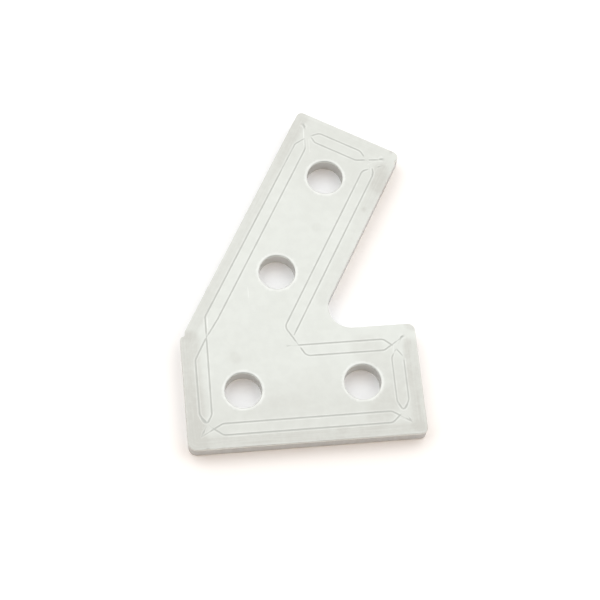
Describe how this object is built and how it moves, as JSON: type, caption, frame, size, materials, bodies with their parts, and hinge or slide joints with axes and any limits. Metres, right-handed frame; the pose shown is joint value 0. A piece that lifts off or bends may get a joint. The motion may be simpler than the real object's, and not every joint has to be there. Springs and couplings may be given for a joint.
{
  "type": "angle bracket",
  "caption": "Flat metal angle bracket with two arms at sixty degrees, screw holes along each arm, a rounded notch between them and an engraved double-rule border on the front.",
  "frame": {"origin": "axis of the corner hole, at the plate's back face", "axes": "+X along the level arm's row of holes, +Y towards the slanted arm's end, +Z out of the engraved face"},
  "size_m": [0.0203, 0.0304, 0.0016],
  "materials": {
    "plate": "tumbled satin, with fine engraved lines"
  },
  "bodies": {
    "root": {"bracket_plate": "plate"}
  },
  "joints": []
}
